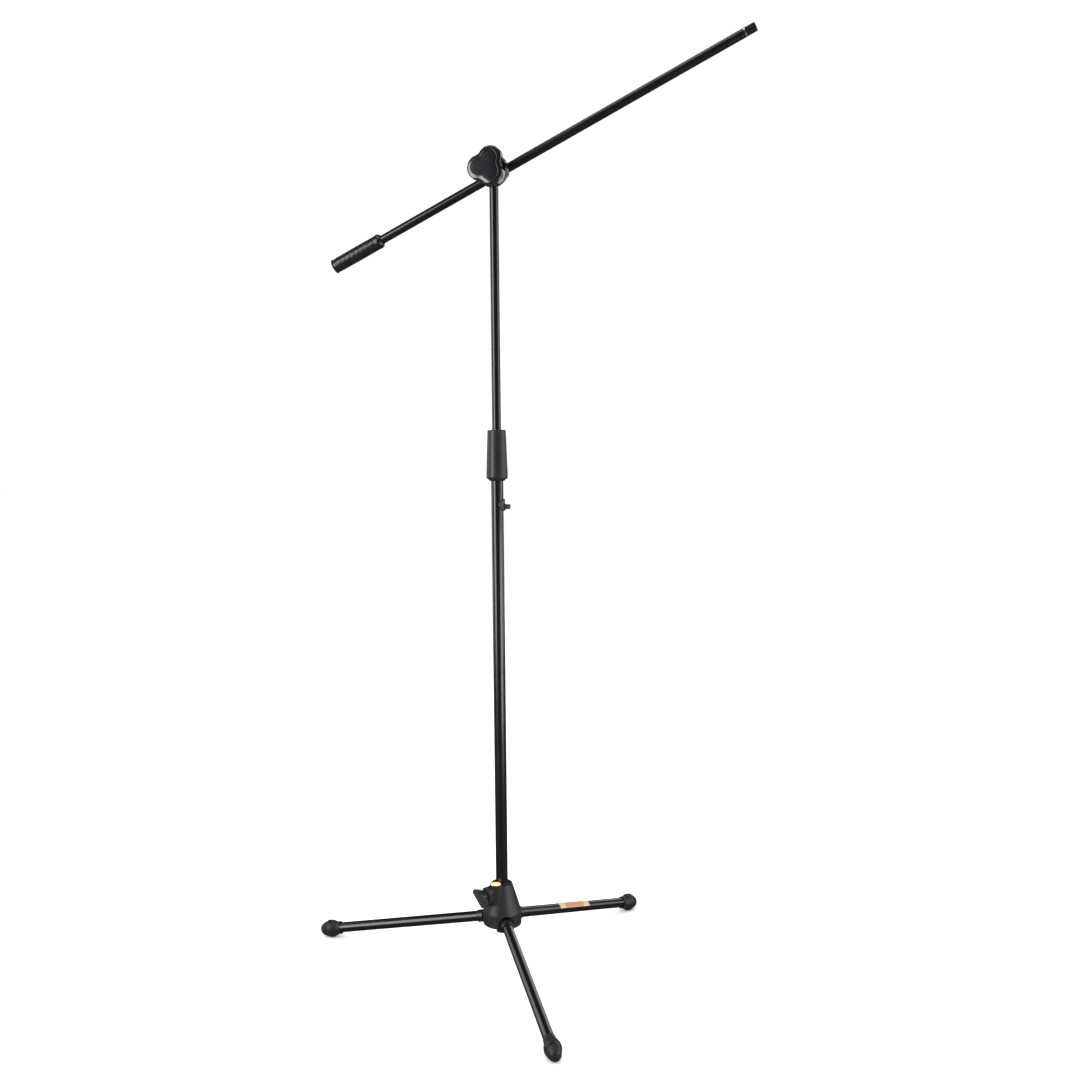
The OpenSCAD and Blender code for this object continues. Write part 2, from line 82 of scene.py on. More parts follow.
def span(node, where):
    """Lowest and highest place along a frame's Z, and the largest radius about it, of a CAD node."""
    inverse = where.inverted()
    points = [inverse @ v.co for v in NODES[node].data.vertices]
    heights = [p.z for p in points]
    return min(heights), max(heights), max(math.hypot(p.x, p.y) for p in points)


UP, AHEAD = (0, 0, 1), (1, 0, 0)
MAST = Matrix.Identity(4)
TILT = at_joint("boom_tilt", AHEAD)
BOOM = at_joint("boom_roll", UP)
CLAMP = at_joint("wing_turn", UP)
LEGS = {}
for leg in LEG_NAMES:
    pivot = Vector(JOINTS["leg_fold_" + leg]["pos_m"])
    LEGS[leg] = place(pivot, middle("leg_tube_" + leg) - pivot, UP)


# ---- mesh building ----

def mesh_object(name, verts, faces, sharp_deg=40):
    """Smooth shaded object with its faces turned outwards, and its edges sharp from an angle on."""
    mesh = bpy.data.meshes.new(name)
    mesh.from_pydata(verts, [], faces)
    work = bmesh.new()
    work.from_mesh(mesh)
    bmesh.ops.recalc_face_normals(work, faces=work.faces)
    work.to_mesh(mesh)
    work.free()
    mesh.shade_smooth()
    mesh.set_sharp_from_angle(angle=math.radians(sharp_deg))
    made = bpy.data.objects.new(name, mesh)
    bpy.context.scene.collection.objects.link(made)
    return made


def skin(name, rings, where, closed=False, sharp_deg=40):
    """Surface over rings of points; a ring of one point is a pole. Closed joins the last to the first."""
    verts, index = [], []
    for ring in rings:
        index.append(range(len(verts), len(verts) + len(ring)))
        verts += [where @ Vector(p) for p in ring]
    faces = []
    for low, high in zip(index, index[1:] + (index[:1] if closed else [])):
        around = max(len(low), len(high))
        if around == 1:
            continue
        for i in range(around):
            j = (i + 1) % around
            corners = [low[i % len(low)], low[j % len(low)], high[j % len(high)], high[i % len(high)]]
            faces.append(list(dict.fromkeys(corners)))
    return mesh_object(name, verts, faces, sharp_deg)


def eased(outline, closed, steps=5, edge_share=0.48):
    """Outline of (radius, height, cut) points, each corner rounded off over cut on both sides of it.

    A corner takes at most edge_share of the edges beside it.
    """
    made = []
    count = len(outline)
    for i, (radius, height, cut) in enumerate(outline):
        corner = Vector((radius, height))
        ends = not closed and i in (0, count - 1)
        if cut == 0 or ends:
            made.append(corner)
            continue
        before = Vector(outline[i - 1][:2]) - corner
        after = Vector(outline[(i + 1) % count][:2]) - corner
        start = corner + before.normalized() * min(cut, before.length * edge_share)
        stop = corner + after.normalized() * min(cut, after.length * edge_share)
        for k in range(steps + 1):
            t = k / steps
            made.append(start * (1 - t) ** 2 + corner * 2 * t * (1 - t) + stop * t * t)
    return made


def circle(radius, height, around):
    """Ring of points, or a pole when it has no radius."""
    if radius < 1e-9:
        return [(0, 0, height)]
    return [(radius * math.cos(math.tau * i / around), radius * math.sin(math.tau * i / around), height)
            for i in range(around)]


def half_turn(angle):
    """The same angle, between -pi and pi."""
    return (angle + math.pi) % math.tau - math.pi


def ramp(t):
    """Smooth step from 0 to 1."""
    t = min(1.0, max(0.0, t))
    return t * t * (3 - 2 * t)


def hump(t):
    """Smooth bump, 1 in the middle and 0 from 1 away."""
    return ramp(1 - abs(t))


def lathe(name, outline, where, closed=True, around=96):
    """Turned part: outline points are (radius, height, corner cut) in millimetres."""
    points = [p * MM for p in eased(outline, closed)]
    return skin(name, [circle(p.x, p.y, around) for p in points], where, closed)


def cast_copy(name, node, voxel, rounds):
    """Closed copy of a CAD node, its edges eased as a moulding's are; voxel is in millimetres."""
    work = bmesh.new()
    work.from_mesh(NODES[node].data)
    mesh = bpy.data.meshes.new(name)
    bmesh.ops.remove_doubles(work, verts=work.verts, dist=1e-7)
    work.to_mesh(mesh)
    work.free()
    made = bpy.data.objects.new(name, mesh)
    bpy.context.scene.collection.objects.link(made)
    remesh = made.modifiers.new("remesh", "REMESH")
    remesh.mode = "VOXEL"
    remesh.voxel_size = voxel * MM
    remesh.use_smooth_shade = True
    ease = made.modifiers.new("ease", "SMOOTH")
    ease.factor = 0.5
    ease.iterations = rounds
    graph = bpy.context.evaluated_depsgraph_get()
    final = bpy.data.meshes.new_from_object(made.evaluated_get(graph))
    made.modifiers.clear()
    made.data = final
    final.name = name
    return made


def open_bore(piece, where, radius, low, high):
    """Moves a piece's points inside a bore, between two heights, out to its radius; all in millimetres."""
    inverse = where.inverted()
    for vertex in piece.data.vertices:
        point = inverse @ vertex.co
        off = math.hypot(point.x, point.y) / MM
        if low < point.z / MM < high and 0 < off < radius:
            vertex.co = where @ Vector((point.x * radius / off, point.y * radius / off, point.z))


def finish_piece(piece, body, slot, look, *nodes):
    """Rides a piece on its body, gives it its material and hides what it stands for; slot is not used."""
    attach(piece, body)
    piece.data.materials.clear()
    piece.data.materials.append(look)
    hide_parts(*nodes)


# ---- materials ----

def new_material(name):
    """A material with its node tree and its one shader."""
    made = bpy.data.materials.new(name)
    made.use_nodes = True
    tree = made.node_tree
    tree.nodes.clear()
    out = tree.nodes.new("ShaderNodeOutputMaterial")
    shader = tree.nodes.new("ShaderNodeBsdfPrincipled")
    tree.links.new(shader.outputs[0], out.inputs[0])
    return made, tree, shader


def local(tree, where, stretch=1.0):
    """A part's own coordinates in metres, with those along its axis shortened by stretch."""
    coordinates = tree.nodes.new("ShaderNodeTexCoord")
    mapping = tree.nodes.new("ShaderNodeMapping")
    mapping.vector_type = "TEXTURE"
    mapping.inputs["Location"].default_value = where.translation
    mapping.inputs["Rotation"].default_value = where.to_euler()
    mapping.inputs["Scale"].default_value = (1, 1, stretch)
    tree.links.new(coordinates.outputs["Object"], mapping.inputs["Vector"])
    return mapping.outputs[0]


def noise(tree, vector, scale, detail, roughness=0.55):
    """Noise from 0 to 1, with scale in cells a metre."""
    made = tree.nodes.new("ShaderNodeTexNoise")
    made.inputs["Scale"].default_value = scale
    made.inputs["Detail"].default_value = detail
    made.inputs["Roughness"].default_value = roughness
    tree.links.new(vector, made.inputs["Vector"])
    return made.outputs["Fac"]


def remap(tree, value, low, high, to_low, to_high):
    """Stretches the part of a value between low and high to another range, and holds it at the ends."""
    made = tree.nodes.new("ShaderNodeMapRange")
    for socket, number in zip(("From Min", "From Max", "To Min", "To Max"), (low, high, to_low, to_high)):
        made.inputs[socket].default_value = number
    tree.links.new(value, made.inputs["Value"])
    return made.outputs[0]


MIX_SHARE, MIX_FIRST, MIX_SECOND, MIX_RESULT = 0, 6, 7, 2  # a Mix node's sockets for colours


def blend_colours(tree, share, first, second):
    """First colour, turning into the second as share goes from 0 to 1; each is a tuple or a socket."""
    made = tree.nodes.new("ShaderNodeMix")
    made.data_type = "RGBA"
    for socket, colour in ((MIX_FIRST, first), (MIX_SECOND, second)):
        if isinstance(colour, tuple):
            made.inputs[socket].default_value = (*colour, 1)
        else:
            tree.links.new(colour, made.inputs[socket])
    tree.links.new(share, made.inputs[MIX_SHARE])
    return made.outputs[MIX_RESULT]


def bump(tree, shader, *layers):
    """Stacks bump layers of (height, strength, depth in metres) into the shader's normal."""
    normal = None
    for height, strength, depth in layers:
        made = tree.nodes.new("ShaderNodeBump")
        made.inputs["Strength"].default_value = strength
        made.inputs["Distance"].default_value = depth
        tree.links.new(height, made.inputs["Height"])
        if normal is not None:
            tree.links.new(normal, made.inputs["Normal"])
        normal = made.outputs[0]
    tree.links.new(normal, shader.inputs["Normal"])


def gloss_paint(name, where):
    """Black stoved paint on steel tube: faint orange peel, drawn lines and hairline rubs along the tube."""
    made, tree, shader = new_material(name)
    own = local(tree, where)
    drawn = noise(tree, local(tree, where, stretch=60.0), scale=700, detail=4)
    rubs = noise(tree, local(tree, where, stretch=14.0), scale=260, detail=6, roughness=0.7)
    peel = noise(tree, own, scale=520, detail=2)
    patches = noise(tree, own, scale=24, detail=4)
    worn = remap(tree, rubs, 0.62, 0.8, 0, 1)
    base = blend_colours(tree, patches, (0.0024, 0.0024, 0.0027), (0.0040, 0.0040, 0.0044))
    tree.links.new(blend_colours(tree, worn, base, (0.009, 0.009, 0.0095)), shader.inputs["Base Color"])
    tree.links.new(remap(tree, rubs, 0.3, 0.8, 0.2, 0.28), shader.inputs["Roughness"])
    shader.inputs["IOR"].default_value = 1.5
    shader.inputs["Coat Weight"].default_value = 0.2
    shader.inputs["Coat Roughness"].default_value = 0.08
    bump(tree, shader, (drawn, 0.04, 0.00002), (peel, 0.03, 0.00004))
    return made


def moulded(name, dark, light, rough, grain=2300, depth=0.00012, sheen=0.0, shine=0.5):
    """Textured moulding: spark-eroded grain, cloudy colour and paler, rougher scuffs."""
    made, tree, shader = new_material(name)
    own = local(tree, MAST)
    clouds = noise(tree, own, scale=55, detail=5, roughness=0.6)
    texture = noise(tree, own, scale=grain, detail=3, roughness=0.6)
    pits = tree.nodes.new("ShaderNodeTexVoronoi")
    pits.inputs["Scale"].default_value = grain * 0.55
    tree.links.new(own, pits.inputs["Vector"])
    scuffs = noise(tree, own, scale=330, detail=8, roughness=0.75)
    base = blend_colours(tree, remap(tree, clouds, 0.35, 0.68, 0, 1), dark, light)
    marks = remap(tree, scuffs, 0.6, 0.78, 0, 0.3)
    scuffed = tuple(min(1, channel * 1.4 + 0.002) for channel in light)
    tree.links.new(blend_colours(tree, marks, base, scuffed), shader.inputs["Base Color"])
    tree.links.new(remap(tree, scuffs, 0.3, 0.75, rough - 0.04, rough + 0.06), shader.inputs["Roughness"])
    shader.inputs["IOR"].default_value = 1.5
    shader.inputs["Sheen Weight"].default_value = sheen
    shader.inputs["Specular IOR Level"].default_value = shine
    bump(tree, shader, (pits.outputs["Distance"], 0.1, depth * 0.5), (texture, 0.16, depth * 0.7))
    return made


def metal(name, where, dull, bright, rough, turned=True):
    """Plated steel: clouding, with turning marks round the axis or drawn lines along it."""
    made, tree, shader = new_material(name)
    own = local(tree, where)
    if turned:
        marks = noise(tree, local(tree, where, stretch=0.02), scale=60, detail=5)
    else:
        marks = noise(tree, local(tree, where, stretch=30.0), scale=900, detail=5)
    clouds = noise(tree, own, scale=180, detail=6, roughness=0.65)
    tree.links.new(blend_colours(tree, remap(tree, clouds, 0.35, 0.7, 0, 1), dull, bright),
                   shader.inputs["Base Color"])
    shader.inputs["Metallic"].default_value = 1.0
    tree.links.new(remap(tree, clouds, 0.3, 0.75, rough, rough + 0.16), shader.inputs["Roughness"])
    bump(tree, shader, (marks, 0.2, 0.00003), (clouds, 0.1, 0.00005))
    return made


def label_print(name, where, start, stop):
    """Printed film: orange field between pale gold ends, thin gold rules, a satin overlaminate."""
    made, tree, shader = new_material(name)
    own = local(tree, where)
    split = tree.nodes.new("ShaderNodeSeparateXYZ")
    tree.links.new(own, split.inputs[0])
    along = remap(tree, split.outputs["Z"], start, stop, 0, 1)
    bands = tree.nodes.new("ShaderNodeValToRGB")
    bands.color_ramp.interpolation = "LINEAR"
    gold, orange, rule = (0.46, 0.32, 0.17, 1), (0.36, 0.145, 0.055, 1), (0.52, 0.38, 0.21, 1)
    stops = [(0.0, rule), (0.02, gold), (0.13, gold), (0.16, rule), (0.2, orange),
             (0.8, orange), (0.84, rule), (0.87, gold), (0.98, gold), (1.0, rule)]
    elements = bands.color_ramp.elements
    elements[0].position, elements[0].color = stops[0]
    elements[1].position, elements[1].color = stops[-1]
    for position, colour in stops[1:-1]:
        elements.new(position).color = colour
    tree.links.new(along, bands.inputs[0])
    fade = noise(tree, own, scale=300, detail=5)
    faded = blend_colours(tree, remap(tree, fade, 0.35, 0.75, 0, 0.4), bands.outputs[0], (0.44, 0.27, 0.15))
    tree.links.new(faded, shader.inputs["Base Color"])
    tree.links.new(remap(tree, fade, 0.3, 0.7, 0.3, 0.45), shader.inputs["Roughness"])
    bump(tree, shader, (noise(tree, own, scale=900, detail=2), 0.15, 0.00003))
    return made


# Each moulding's dark and light colour and its roughness, then what differs from the usual grain and shine
LOOKS = {
    "hub": moulded("hub_moulding", (0.009, 0.009, 0.011), (0.015, 0.014, 0.016), 0.4, shine=0.33),
    "nylon": moulded("black_nylon", (0.008, 0.008, 0.009), (0.013, 0.013, 0.014), 0.42, grain=1500),
    "wing": moulded("wing_moulding", (0.012, 0.014, 0.013), (0.020, 0.022, 0.021), 0.36, shine=0.3),
    "bracket": moulded("bracket_moulding", (0.005, 0.005, 0.006), (0.009, 0.009, 0.010), 0.3,
                       grain=2600, depth=0.00007),
    "rubber": moulded("foot_rubber_look", (0.006, 0.0055, 0.006), (0.011, 0.0105, 0.011), 0.45,
                      grain=1500, depth=0.0002, sheen=0.03, shine=0.35),
    "weight": moulded("grip_rubber_look", (0.004, 0.004, 0.0045), (0.007, 0.007, 0.0075), 0.27,
                      grain=1900, depth=0.00006),
    "grip": moulded("grip_moulding", (0.009, 0.009, 0.010), (0.014, 0.014, 0.015), 0.36, shine=0.4),
    "ring": moulded("ring_moulding", (0.010, 0.010, 0.011), (0.016, 0.016, 0.017), 0.4),
    "plug": moulded("plug_moulding", (0.010, 0.010, 0.011), (0.016, 0.016, 0.017), 0.5),
    "peg": moulded("peg_moulding", (0.012, 0.012, 0.013), (0.020, 0.020, 0.021), 0.38),
    "head": moulded("painted_casting", (0.003, 0.003, 0.004), (0.006, 0.006, 0.007), 0.22,
                    grain=700, depth=0.00004, shine=0.15),
    "knob": moulded("knob_moulding", (0.004, 0.004, 0.005), (0.007, 0.0068, 0.008), 0.18,
                    grain=2600, depth=0.00002, shine=0.9),
    "knob_face": moulded("knob_face_moulding", (0.005, 0.0047, 0.006), (0.008, 0.0075, 0.0095), 0.26,
                         grain=3000, depth=0.00003, shine=0.12),
    "thread": moulded("black_oxide", (0.004, 0.004, 0.005), (0.008, 0.008, 0.009), 0.34,
                      grain=2500, depth=0.00004),
    "pale": moulded("natural_nylon", (0.52, 0.49, 0.40), (0.66, 0.63, 0.54), 0.45,
                    grain=900, depth=0.00006),
    "fibre": moulded("friction_fibre_look", (0.12, 0.085, 0.05), (0.24, 0.19, 0.12), 0.8,
                     grain=1600, depth=0.0002),
    "gold": moulded("gold_cap_look", (0.86, 0.66, 0.25), (0.96, 0.83, 0.46), 0.3,
                    grain=500, depth=0.00003),
    "zinc": metal("bright_zinc", MAST, (0.50, 0.50, 0.49), (0.72, 0.72, 0.70), 0.24, turned=False),
    "bolt": metal("zinc_clamp_screw", CLAMP, (0.50, 0.50, 0.49), (0.74, 0.74, 0.72), 0.22),
    "eye": metal("zinc_eye_bolt", TILT, (0.46, 0.46, 0.46), (0.68, 0.68, 0.66), 0.26),
    "collar": metal("bright_collar", BOOM, (0.55, 0.55, 0.54), (0.8, 0.8, 0.78), 0.2),
    "slug": metal("plain_steel", BOOM, (0.34, 0.34, 0.34), (0.52, 0.52, 0.51), 0.32),
    "mast": gloss_paint("mast_paint_look", MAST),
    "boom": gloss_paint("boom_paint_look", BOOM),
}
for leg in LEG_NAMES:
    LOOKS["leg_" + leg] = gloss_paint("leg_paint_" + leg, LEGS[leg])

# CAD nodes shown as they are, with their looks
AS_MADE = {
    "guide_liner": "nylon", "clamp_nut": "zinc", "leg_pins": "zinc", "clamp_shoe": "pale",
    "clamp_bolt": "bolt", "lower_tube": "mast", "upper_tube": "mast", "tube_end_plug": "plug",
    "clutch_body": "nylon", "clutch_wedge": "zinc", "guide_bush": "pale", "upper_tube_plug": "plug",
    "bush_clip": "zinc", "eye_bolt": "eye", "friction_disc": "fibre", "knob_washer": "zinc",
    "knob_nut": "zinc", "boom_bush": "nylon", "boom_tube": "boom", "thread_collar": "collar",
    "weight_core": "slug",
}
for leg in LEG_NAMES:
    AS_MADE["leg_tube_" + leg] = "leg_" + leg
for node, look in AS_MADE.items():
    NODES[node].data.materials.clear()
    NODES[node].data.materials.append(LOOKS[look])

label_low, label_high, _ = span("leg_label", LEGS["front_left"])
label_look = label_print("label_film_look", LEGS["front_left"], label_low, label_high)
NODES["leg_label"].data.materials.clear()
NODES["leg_label"].data.materials.append(label_look)


# ---- hub ----

SHOE_PLAY = 0.25  # gap round the clamp's shoe
SHOE_ROOM = 3.2   # behind the shoe, for when it backs off

shoe_low, shoe_high, shoe_r = (x / MM for x in span("clamp_shoe", CLAMP))
hub_bell = cast_copy("hub_bell", "hub_housing", 0.7, 6)
open_bore(hub_bell, CLAMP, shoe_r + SHOE_PLAY, shoe_low, shoe_high + SHOE_ROOM)
finish_piece(hub_bell, "hub", "hub_plastic", LOOKS["hub"], "hub_housing")

cap_low, cap_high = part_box("boss_cap")
cap_place = place(((cap_low.x + cap_high.x) / 2, (cap_low.y + cap_high.y) / 2, cap_low.z), UP, AHEAD)
cap_r = (cap_high.x - cap_low.x) / 2 / MM
cap_h = (cap_high.z - cap_low.z) / MM
rim_r = cap_r - 1.1
dish_r = cap_r - 1.7
gold_cap = lathe("gold_cap", [
    (0, 0, 0), (cap_r, 0, 0.1), (cap_r, cap_h - 0.3, 0.6), (rim_r, cap_h, 0.5),
    (dish_r, cap_h - 0.35, 0.3), (0, cap_h - 0.05, 0)], cap_place, closed=False)
finish_piece(gold_cap, "hub", "gold_disc", LOOKS["gold"], "boss_cap")

wing = cast_copy("wing", "wing_knob", 0.45, 10)
finish_piece(wing, "wing_screw", "wing_plastic", LOOKS["wing"], "wing_knob")


# ---- legs ----

# (share of a foot's length from its neck, share of its largest radius there)
BOOT_PROFILE = (
    (0.00, 0.715), (0.03, 0.73), (0.075, 0.735), (0.11, 0.705), (0.16, 0.74), (0.38, 0.955),
    (0.45, 0.99), (0.51, 1.0), (0.58, 0.975), (0.68, 0.89), (0.78, 0.79), (0.87, 0.69),
    (0.94, 0.585), (0.98, 0.42))
BOOT_END = BOOT_PROFILE[-1][0]
BOOT_BLUR = (-0.02, -0.01, 0, 0.01, 0.02)  # the profile is averaged over these shares of the length
BOOT_NARROW = 0.87                         # width across, as a share of the height
BOOT_STEPS, BOOT_AROUND = 88, 96
TUBE_PLAY, TUBE_SHARE = 0.04, 0.56         # gap round the leg's tube, and how far in its bore goes
DIMPLE_AT, DIMPLE_LONG = 0.42, 0.15        # shares of the length
DIMPLE_WIDE = 0.5                          # radians round the foot
DIMPLE_DEEP = 1.3
CREASE_AT, CREASE_LONG = 0.655, 0.028      # shares of the length
CREASE_DEEP = 1.5
LIP_HIGH = 0.35                            # of the rims beside the dimple and the crease


def boot_share(t):
    """Share of a foot's largest radius at a share of its length."""
    for (t0, r0), (t1, r1) in zip(BOOT_PROFILE, BOOT_PROFILE[1:]):
        if t <= t1:
            return r0 + (r1 - r0) * (t - t0) / (t1 - t0)
    return BOOT_PROFILE[-1][1]


def dented(radius, t, turn):
    """Radius of a foot with its thumb dimple and its crease, both on the upper side."""
    up = math.cos(turn)
    dimple = 1 - math.hypot((t - DIMPLE_AT) / DIMPLE_LONG, half_turn(turn) / DIMPLE_WIDE)
    crease = CREASE_AT - 0.02 * up
    radius -= DIMPLE_DEEP * ramp(dimple * 1.6)
    radius += LIP_HIGH * hump((dimple + 0.12) / 0.22)
    radius -= CREASE_DEEP * hump((t - crease) / CREASE_LONG) * ramp((up + 0.55) / 0.5)
    radius += LIP_HIGH * hump((t - crease + 0.05) / 0.05) * ramp((up + 0.2) / 0.5)
    return radius


def boot(name, where, node, tube_r):
    """Rubber foot, narrower than it's tall, with a collared neck, a tapering toe and a flat pad."""
    start, stop, biggest = (x / MM for x in span(node, where))
    length = stop - start
    rings = []
    for k in range(BOOT_STEPS + 1):
        t = BOOT_END * k / BOOT_STEPS
        near = [biggest * boot_share(min(BOOT_END, max(0, t + off))) for off in BOOT_BLUR]
        radius = sum(near) / len(near)
        height = (start + t * length) * MM
        ring = []
        for i in range(BOOT_AROUND):
            turn = math.tau * i / BOOT_AROUND
            r = dented(radius, t, turn)
            x = r * MM * math.cos(turn)
            y = r * BOOT_NARROW * MM * math.sin(turn)
            point = where @ Vector((x, y, height))
            if point.z < 0:
                axis = where @ Vector((0, 0, height))
                point = axis + (point - axis) * (axis.z / (axis.z - point.z))
            ring.append(where.inverted() @ point)
        rings.append(ring)
    bore = (tube_r / MM + TUBE_PLAY) * MM
    bottom = (start + length * TUBE_SHARE) * MM
    inside = [
        [(0, 0, bottom)], circle(bore, bottom, BOOT_AROUND), circle(bore, start * MM, BOOT_AROUND)]
    return skin(name, [*inside, *rings, [(0, 0, stop * MM)]], where, sharp_deg=60)


for leg in LEG_NAMES:
    body = "leg_" + leg
    tube_r = span("leg_tube_" + leg, LEGS[leg])[2]
    foot = boot("boot_" + leg, LEGS[leg], "foot_" + leg, tube_r)
    finish_piece(foot, body, "foot_rubber", LOOKS["rubber"], "foot_" + leg)
    root = cast_copy("leg_root_" + leg, "leg_bracket_" + leg, 0.5, 6)
    finish_piece(root, body, "bracket_plastic", LOOKS["bracket"], "leg_bracket_" + leg)


# ---- peg ----

peg_plate = cast_copy("peg_plate", "peg_saddle", 0.35, 8)
finish_piece(peg_plate, "lower_mast", "peg_plastic", LOOKS["peg"], "peg_saddle")
peg_low, peg_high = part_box("cable_peg")
peg_place = place((peg_low.x, 0, (peg_low.z + peg_high.z) / 2), AHEAD, UP)
peg_len = (peg_high.x - peg_low.x) / MM
peg_r = (peg_high.z - peg_low.z) / 2 / MM
peg = lathe("peg", [
    (0, 0, 0), (peg_r, 0, 0.1), (peg_r, 1.2, 0.5), (peg_r - 0.6, 2.2, 1), (peg_r - 1.0, peg_len - 2.6, 0.5),
    (peg_r - 0.7, peg_len - 1.8, 0.6), (peg_r - 1.0, peg_len, 1.4), (0, peg_len, 0)],
    peg_place, closed=False, around=64)
finish_piece(peg, "lower_mast", "peg_plastic", LOOKS["peg"], "cable_peg")


# ---- height clutch ----

GRIP_TOP_R = 16.5
GRIP_MOUTH_R = 11.4                         # round the lower tube
GRIP_RECESS_R = 12.6                        # round the top ring
GRIP_NECK_R = 9.0                           # round the upper tube
GRIP_TIPS_R, GRIP_TIPS_END = 13.2, 18       # room for the clutch's fingertips, to this far below the top
GRIP_WEDGE_R, GRIP_WEDGE_END = 15.75, 34    # room for the wedge, in the same way
GRIP_SKIRT_R = 14.35                        # round the clutch's body
RING_R, RING_BORE_R = 12.45, 8.8

grip_low, grip_high = (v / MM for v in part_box("grip_sleeve"))
grip_r = grip_high.x
low, high = grip_low.z, grip_high.z
outside = [
    (GRIP_MOUTH_R, low, 0.3), (GRIP_MOUTH_R + 1.0, low, 0.5), (grip_r - 0.35, low + 5.6, 0.9),
    (grip_r, low + 7.2, 0.7), (grip_r - 0.15, low + 9, 1), (GRIP_TOP_R, high - 1.6, 0.8),
    (GRIP_TOP_R - 0.9, high, 0.9), (GRIP_RECESS_R + 0.7, high, 0.6)]
inside = [
    (GRIP_RECESS_R, high - 1, 0.4), (GRIP_RECESS_R, high - 5.5, 0), (GRIP_NECK_R, high - 5.5, 0),
    (GRIP_NECK_R, high - 12, 0), (GRIP_TIPS_R, high - 12, 0), (GRIP_TIPS_R, high - GRIP_TIPS_END, 0),
    (GRIP_WEDGE_R, high - GRIP_TIPS_END, 0), (GRIP_WEDGE_R, high - GRIP_WEDGE_END, 0),
    (GRIP_SKIRT_R, high - GRIP_WEDGE_END, 0), (GRIP_SKIRT_R, low + 6, 0), (GRIP_MOUTH_R, low + 6, 0)]
clutch_grip = lathe("clutch_grip", outside + inside, MAST, around=128)
finish_piece(clutch_grip, "clutch_grip", "grip_plastic", LOOKS["grip"], "grip_sleeve")

ring_low, ring_high = (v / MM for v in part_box("grip_cap"))
top_ring = lathe("grip_top_ring", [
    (RING_BORE_R, ring_low.z, 0), (RING_R, ring_low.z, 0.2), (RING_R, ring_high.z - 0.2, 0.6),
    (11.3, ring_high.z, 0.5), (9.9, ring_high.z - 0.5, 0.5), (RING_BORE_R, ring_high.z - 0.9, 0.4)], MAST)
finish_piece(top_ring, "clutch_grip", "grip_plastic", LOOKS["ring"], "grip_cap")


# ---- boom joint ----

BOLT_BORE_R = 4.3         # round the eye bolt

joint_head = cast_copy("joint_head", "mast_head", 0.55, 8)
head_low, head_high, _ = (x / MM for x in span("mast_head", TILT))
open_bore(joint_head, TILT, BOLT_BORE_R, head_low - 1, head_high + 1)
finish_piece(joint_head, "upper_mast", "head_casting", LOOKS["head"], "mast_head")
joint_block = cast_copy("joint_block", "boom_block", 0.5, 7)
finish_piece(joint_block, "boom_clamp", "head_casting", LOOKS["head"], "boom_block")

KNOB_AROUND = 144
LOBES_DEG = (65, 185, 305)
LOBE_R = 21.0
LOBE_AT = span("tilt_knob", TILT)[2] / MM - LOBE_R
WAIST = 2.4                    # how far the sides between the lobes are hollowed
FACE_INSET = 7.8               # of the front cover, from the knob's outline
BEVEL_STEPS = 8
BEVEL_START = math.radians(8)  # slope beside the cover
BEVEL_STOP = math.radians(22)  # slope at the rounded edge
EDGE_R = 2.6                   # of that rounded edge
KNOB_BORE_R = 4.2              # round the eye bolt
NUT_BORE_R = 7.6               # round the nut
BACK_R = 15                    # of the round back


def lobed(inset, height):
    """Ring round the knob's three-lobed outline, drawn in by inset."""
    half_side = LOBE_AT * math.sin(math.pi / 3)
    ring = []
    for i in range(KNOB_AROUND):
        turn = math.tau * i / KNOB_AROUND
        best = 0.0
        for lobe in LOBES_DEG:
            off = turn - math.radians(lobe)
            inside = (LOBE_R - inset) ** 2 - (LOBE_AT * math.sin(off)) ** 2
            if inside > 0:
                best = max(best, LOBE_AT * math.cos(off) + math.sqrt(inside))
            flat = half_turn(off - math.pi / 3)
            if abs(flat) < 1.2:
                side = (LOBE_AT * 0.5 + LOBE_R - inset) / math.cos(flat)
                across = side * math.sin(flat)
                if abs(across) <= half_side:
                    hollow = WAIST * math.cos(across / half_side * math.pi / 2) ** 2
                    best = max(best, side - hollow)
        ring.append((best * MM * math.cos(turn), best * MM * math.sin(turn), height * MM))
    return ring


def knob_front(front):
    """(inset, height) points from the knob's rounded edge, up its bevel and down to the cover's seat."""
    gentle, steep = math.tan(BEVEL_START), math.tan(BEVEL_STOP)
    rim = FACE_INSET - 1.2
    wide = rim - EDGE_R * (1 - math.sin(BEVEL_STOP))
    bevel = []
    for k in range(BEVEL_STEPS + 1):
        t = k / BEVEL_STEPS
        rise = gentle * t + (steep - gentle) * t * t / 2
        bevel.append((rim - wide * k / BEVEL_STEPS, front - 0.05 - wide * rise))
    edge_top = bevel[-1][1]
    for k in range(1, BEVEL_STEPS + 1):
        angle = BEVEL_STOP + (math.pi / 2 - BEVEL_STOP) * k / BEVEL_STEPS
        drop = EDGE_R * (math.cos(BEVEL_STOP) - math.cos(angle))
        bevel.append((EDGE_R * (1 - math.sin(angle)), edge_top - drop))
    seat = [
        (FACE_INSET - 0.9, front), (FACE_INSET - 0.4, front - 0.05),
        (FACE_INSET - 0.1, front - 0.35), (FACE_INSET, front - 2.2)]
    return [*reversed(bevel), *seat]


